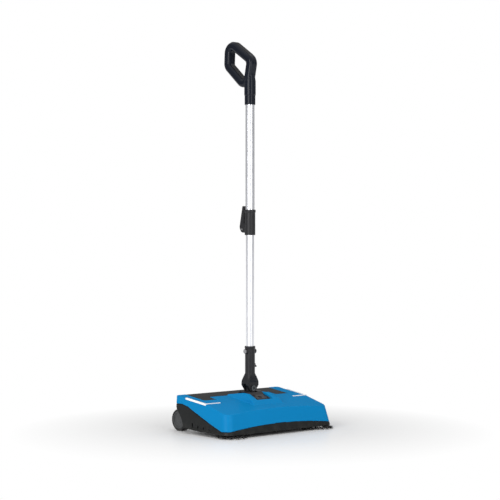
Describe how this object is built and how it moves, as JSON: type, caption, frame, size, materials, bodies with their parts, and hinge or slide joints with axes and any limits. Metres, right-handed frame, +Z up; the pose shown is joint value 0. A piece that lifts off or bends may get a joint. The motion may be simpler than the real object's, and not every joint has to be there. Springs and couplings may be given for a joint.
{
  "type": "carpet sweeper",
  "caption": "Low blue and black cordless floor sweeper with a main brush, side brushes, dust bin and a telescopic handle in a two-axis joint.",
  "frame": {"origin": "on the floor under the middle of the whole sweeper's box, handle upright", "axes": "+Z up along the upright handle, -Y towards the front of the head, +X to the right seen from behind the grip"},
  "size_m": [0.455, 0.323, 1.2166],
  "materials": {
    "cover_blue": "satin-gloss moulded ABS",
    "chassis_black": "fine-textured moulded polypropylene",
    "joint_black": "glass-filled nylon",
    "grip_black": "smooth moulded plastic",
    "soft_black": "ribbed soft elastomer",
    "tyre_black": "moulded elastomer tread",
    "hub_grey": "fine-textured moulded plastic",
    "tube_silver": "satin anodised",
    "trim_bright": "polished",
    "steel_plain": "plain steel",
    "bolt_black": "blackened",
    "screw_steel": "zinc-plated",
    "bristle_black": "nylon bristle",
    "bin_black": "moulded plastic",
    "battery_grey": "shrink-wrapped cells",
    "board_green": "laminate",
    "motor_can": "drawn steel can",
    "belt_rubber": "fabric-backed rubber",
    "bronze_bush": "sintered bronze"
  },
  "bodies": {
    "chassis": {"base_cap": "joint_black", "battery_pack": "battery_grey", "bridge_plate": "steel_plain", "charging_socket": "chassis_black", "chassis_tray": "chassis_black", "control_board": "board_green", "drive_belt": "belt_rubber", "drive_motor": "motor_can", "front_roller_pins": "steel_plain", "joint_base": "joint_black", "joint_base_screws": "screw_steel", "left_brush_bearing": "bronze_bush", "left_side_motor": "motor_can", "left_trim_strip": "trim_bright", "left_wheel_axle": "steel_plain", "motor_saddle": "chassis_black", "pitch_axle": "steel_plain", "right_brush_bearing": "bronze_bush", "right_side_motor": "motor_can", "right_trim_strip": "trim_bright", "right_wheel_axle": "steel_plain", "sweep_lip": "soft_black", "switch_frame": "chassis_black", "top_cover": "cover_blue"},
    "knuckle": {"knuckle": "joint_black"},
    "handle_lower": {"yoke": "joint_black", "roll_bolt": "bolt_black", "roll_nut": "bolt_black", "yoke_cross_bolt": "screw_steel", "yoke_clip": "joint_black", "lower_tube": "tube_silver", "lower_tube_cap": "joint_black"},
    "handle_upper": {"upper_tube": "tube_silver", "clamp_body": "joint_black", "clamp_pin": "steel_plain", "left_grip_shell": "grip_black", "right_grip_shell": "grip_black", "top_grip_pad": "soft_black", "inner_grip_pad": "soft_black", "grip_screws": "screw_steel"},
    "clamp_lever": {"clamp_lever": "joint_black"},
    "left_wheel": {"left_wheel_hub": "hub_grey", "left_wheel_tyre": "tyre_black"},
    "right_wheel": {"right_wheel_hub": "hub_grey", "right_wheel_tyre": "tyre_black"},
    "left_roller": {"left_front_roller": "tyre_black"},
    "right_roller": {"right_front_roller": "tyre_black"},
    "main_brush": {"brush_core": "hub_grey", "brush_bristles": "bristle_black", "brush_pulley": "chassis_black"},
    "motor_rotor": {"motor_pulley": "chassis_black", "motor_shaft": "steel_plain"},
    "left_side_brush": {"left_side_brush_hub": "hub_grey", "left_side_bristles": "bristle_black"},
    "right_side_brush": {"right_side_brush_hub": "hub_grey", "right_side_bristles": "bristle_black"},
    "dust_bin": {"dust_bin": "bin_black", "bin_lid": "bin_black", "bin_grip": "bin_black"},
    "power_switch": {"power_switch": "grip_black"}
  },
  "joints": [
    {"name": "handle_tilt", "type": "hinge", "parent": "chassis", "child": "knuckle", "pos_m": [0, 0.01, 0.106], "axis": [-1, 0, 0], "range_deg": [0, 60]},
    {"name": "handle_roll", "type": "hinge", "parent": "knuckle", "child": "handle_lower", "pos_m": [0, 0.01, 0.13], "axis": [0, 1, 0], "range_deg": [-30, 30]},
    {"name": "handle_telescope", "type": "slide", "parent": "handle_lower", "child": "handle_upper", "axis": [0, 0, 1], "range_m": [-0.25, 0]},
    {"name": "clamp_lever_hinge", "type": "hinge", "parent": "handle_upper", "child": "clamp_lever", "pos_m": [0, 0.035, 0.624], "axis": [-1, 0, 0], "range_deg": [0, 55]},
    {"name": "left_wheel_spin", "type": "hinge", "parent": "chassis", "child": "left_wheel", "pos_m": [-0.1785, 0.128, 0.0335], "axis": [1, 0, 0], "continuous": true},
    {"name": "right_wheel_spin", "type": "hinge", "parent": "chassis", "child": "right_wheel", "pos_m": [0.1785, 0.128, 0.0335], "axis": [1, 0, 0], "continuous": true},
    {"name": "left_roller_spin", "type": "hinge", "parent": "chassis", "child": "left_roller", "pos_m": [-0.12, -0.112, 0.01], "axis": [1, 0, 0], "continuous": true},
    {"name": "right_roller_spin", "type": "hinge", "parent": "chassis", "child": "right_roller", "pos_m": [0.12, -0.112, 0.01], "axis": [1, 0, 0], "continuous": true},
    {"name": "main_brush_spin", "type": "hinge", "parent": "chassis", "child": "main_brush", "pos_m": [0, -0.045, 0.038], "axis": [1, 0, 0], "continuous": true},
    {"name": "motor_spin", "type": "hinge", "parent": "chassis", "child": "motor_rotor", "pos_m": [-0.161, 0.02, 0.052], "axis": [1, 0, 0], "continuous": true},
    {"name": "left_side_brush_spin", "type": "hinge", "parent": "chassis", "child": "left_side_brush", "pos_m": [-0.178, -0.112, 0.012], "axis": [0, 0, 1], "continuous": true},
    {"name": "right_side_brush_spin", "type": "hinge", "parent": "chassis", "child": "right_side_brush", "pos_m": [0.178, -0.112, 0.012], "axis": [0, 0, 1], "continuous": true},
    {"name": "dust_bin_slide", "type": "slide", "parent": "chassis", "child": "dust_bin", "axis": [0, 1, 0], "range_m": [0, 0.12]},
    {"name": "power_switch_rock", "type": "hinge", "parent": "chassis", "child": "power_switch", "pos_m": [0.2105, 0.076, 0.056], "axis": [0, 0, 1], "range_deg": [-8, 8]}
  ],
  "couplings": [
    {"joint": "motor_spin", "follows": "main_brush_spin", "ratio": 2}
  ]
}
